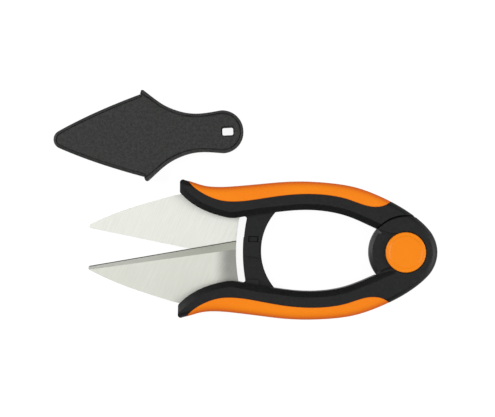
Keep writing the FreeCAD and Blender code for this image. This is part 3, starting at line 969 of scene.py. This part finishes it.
@dataclass
class Studio:
    """White table, soft boxes on both sides and the camera straight above the work.

    Attributes:
        centre: the point of the table that the camera looks at.
        height: height of the camera.
        turn: how far the camera is turned about its axis.
        lens: focal length in millimetres.
        sensor: width of its sensor in millimetres.
        nearest: closest distance that it shows.
        table: half the side of the table.
        table_drop: how far the table lies below the work, so that their faces don't meet.
        table_patches: how many patches of its two greys it has per metre.
        table_tones: the two greys that the table drifts between.
        table_glow: how bright the table is to the camera and through glass.
        table_shine: how bright it is in reflections, on top of its own light.
        box_span: how far to the side the soft boxes of the world start and are full.
        box_light: reflected brightness between the boxes and in them.
        horizon_span: height of direction at which the light along the horizon ends and is full.
        horizon_light: how much it adds.
        above_span: height of direction at which the light overhead starts and is full.
        above_light: how much it adds.
        fill: how bright the world is to a diffuse surface.
        lamp_side: side of each lamp.
        lamp_shine: how strongly the lamps show in reflections.
    """

    centre: tuple[float, float] = (-0.0749, 0.01945)
    height: float = 0.80625
    turn: float = math.radians(0.95)
    lens: float = 122.7
    sensor: float = 36.0
    nearest: float = 0.01
    table: float = 1.6
    table_drop: float = 0.2 * MM
    table_patches: float = 3.0
    table_tones: Span = (0.17, 0.15)
    table_glow: float = 0.91
    table_shine: float = 0.5
    box_span: Span = (0.55, 0.90)
    box_light: Span = (0.12, 1.6)
    horizon_span: Span = (0.42, 0.12)
    horizon_light: float = 0.6
    above_span: Span = (0.72, 0.95)
    above_light: float = 0.85
    fill: float = 0.5
    lamp_side: float = 0.7
    lamp_shine: float = 0.8

    def build(self) -> None:
        """Makes the floor, the light, the world and the camera."""
        self.floor()
        self.world()
        self.lamp("left_box", (-0.95, 0.22, 0.80), 7.0)
        self.lamp("right_box", (0.85, -0.10, 0.80), 6.0)
        self.camera()

    def floor(self) -> None:
        """A pale table top that shows white to the camera and in reflections, and keeps the shadow."""
        mesh = bpy.data.meshes.new("table_top")
        form = bmesh.new()
        bmesh.ops.create_grid(form, x_segments=2, y_segments=2, size=self.table)
        bmesh.ops.translate(form, verts=form.verts[:], vec=(0.0, 0.0, -self.table_drop))
        form.to_mesh(mesh)
        form.free()
        table = bpy.data.objects.new("table_top", mesh)
        bpy.context.scene.collection.objects.link(table)
        material, g, shader, at = start_material("table_white")
        light, dark = ((tone, tone, tone) for tone in self.table_tones)
        patches = g.remap(g.noise(at, self.table_patches), SMUDGE_SPAN)
        g.feed(shader.inputs["Base Color"], g.blend(patches, light, dark))
        shader.inputs["Roughness"].default_value = 0.8
        shader.inputs["Specular IOR Level"].default_value = 0.1
        shader.inputs["Emission Color"].default_value = WHITE
        paths = g.node("ShaderNodeLightPath")
        seen = g.math("MAXIMUM", paths.outputs["Is Camera Ray"], paths.outputs["Is Transmission Ray"])
        shine = g.math("MULTIPLY", paths.outputs["Is Glossy Ray"], self.table_shine)
        glow = g.math("ADD", g.math("MULTIPLY", seen, self.table_glow), shine)
        g.feed(shader.inputs["Emission Strength"], glow)
        coat(table, material)

    def world(self) -> None:
        """Surroundings that are white to the eye, with a soft bright box on each side in reflections."""
        world = bpy.data.worlds.new("studio")
        bpy.context.scene.world = world
        world.use_nodes = True
        g = Graph(world.node_tree)
        background = next(n for n in world.node_tree.nodes if n.type == "BACKGROUND")
        paths = g.node("ShaderNodeLightPath")
        direction = g.node("ShaderNodeSeparateXYZ")
        g.feed(direction.inputs[0], g.node("ShaderNodeTexCoord").outputs["Generated"])
        sideways = g.math("ABSOLUTE", direction.outputs["X"], 0.0)
        boxes = g.remap(sideways, self.box_span, *self.box_light)
        horizon = g.remap(direction.outputs["Z"], self.horizon_span, 0.0, self.horizon_light)
        above = g.remap(direction.outputs["Z"], self.above_span, 0.0, self.above_light)
        dome = g.math("ADD", above, g.math("ADD", boxes, horizon))
        glossy = g.math("MULTIPLY", dome, paths.outputs["Is Glossy Ray"])
        plain = g.math("MULTIPLY", self.fill, g.math("SUBTRACT", 1.0, paths.outputs["Is Glossy Ray"]))
        lit = g.math("ADD", glossy, plain)
        seen = g.math("MAXIMUM", paths.outputs["Is Camera Ray"], paths.outputs["Is Transmission Ray"])
        g.feed(background.inputs["Strength"], g.math("MAXIMUM", lit, seen))
        background.inputs["Color"].default_value = WHITE

    def lamp(self, name: str, place: Sequence[float], power: float) -> None:
        """One soft square lamp aimed at the work.

        Args:
            name: its name.
            place: where it hangs, in metres.
            power: its power in watts.
        """
        data = bpy.data.lights.new(name, "AREA")
        data.shape = "SQUARE"
        data.size = self.lamp_side
        data.energy = power
        data.specular_factor = self.lamp_shine
        lamp = bpy.data.objects.new(name, data)
        bpy.context.scene.collection.objects.link(lamp)
        lamp.location = place
        aim = Vector((*self.centre, 0.0)) - Vector(place)
        lamp.rotation_euler = aim.to_track_quat("-Z", "Y").to_euler()

    def camera(self) -> None:
        """The camera, straight down over the middle of the set."""
        data = bpy.data.cameras.new("overhead_camera")
        data.lens = self.lens
        data.sensor_width = self.sensor
        data.sensor_fit = "HORIZONTAL"
        data.clip_start = self.nearest
        camera = bpy.data.objects.new("overhead_camera", data)
        bpy.context.scene.collection.objects.link(camera)
        camera.location = (*self.centre, self.height)
        camera.rotation_euler = (0.0, 0.0, self.turn)
        bpy.context.scene.camera = camera


def main() -> None:
    """Dresses the model piece by piece."""
    logging.basicConfig(level=logging.INFO, format="%(name)s: %(message)s")
    bpy.context.scene.view_settings.view_transform = "Standard"
    effects = Effects.make()
    finishes = {
        "fixed_core": BLACK_NYLON, "moving_core": BLACK_NYLON,
        "fixed_grip": ORANGE_GRIP, "moving_grip": ORANGE_GRIP,
        "fixed_blade": OUTER_STEEL, "moving_blade": INNER_STEEL,
        "pivot_barrel": TURNED_STEEL, "pivot_screw": TURNED_STEEL,
        "lower_washer": BLACK_WASHER, "upper_washer": BLACK_WASHER, "thrust_ring": BLACK_WASHER,
        "opening_spring": SPRING_WIRE,
        "lower_cap": ORANGE_CAP, "upper_cap": ORANGE_CAP,
        "blade_cover": CHARCOAL_COVER,
    }
    made = {}
    for name, finish in finishes.items():
        if finish.name not in made:
            made[finish.name] = finish.build(effects)
        coat(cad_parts[name], made[finish.name])
        LOG.info("%s: %s", name, finish.name)
    for piece in (
        Piece("fixed_core", "fixed_arm", Slot.ARM, hidden=13.0 * MM),
        Piece("moving_core", "moving_arm", Slot.ARM, hidden=13.0 * MM),
        Piece("fixed_grip", "fixed_arm", Slot.GRIP, radius=0.2 * MM, sharp=35.0),
        Piece("moving_grip", "moving_arm", Slot.GRIP, radius=0.2 * MM, sharp=35.0),
        BladePiece("fixed_blade", "fixed_arm", Slot.BLADE, radius=0.1 * MM, steps=2, sharp=45.0, crease=6.0),
        BladePiece(
            "moving_blade", "moving_arm", Slot.BLADE,
            radius=0.1 * MM, steps=2, sharp=45.0, crease=6.0, side=-1.0,
        ),
        SpringPiece("opening_spring", "fixed_arm", Slot.SPRING, sharp=180.0, crease=50.0),
        CapPiece("upper_cap", "fixed_arm", Slot.CAP, crease=50.0),
        CoverPiece("blade_cover", "cover", Slot.COVER, radius=0.22 * MM),
    ):
        piece.build(made[finishes[piece.node].name])
    Studio().build()


if __name__ == "__main__":
    main()
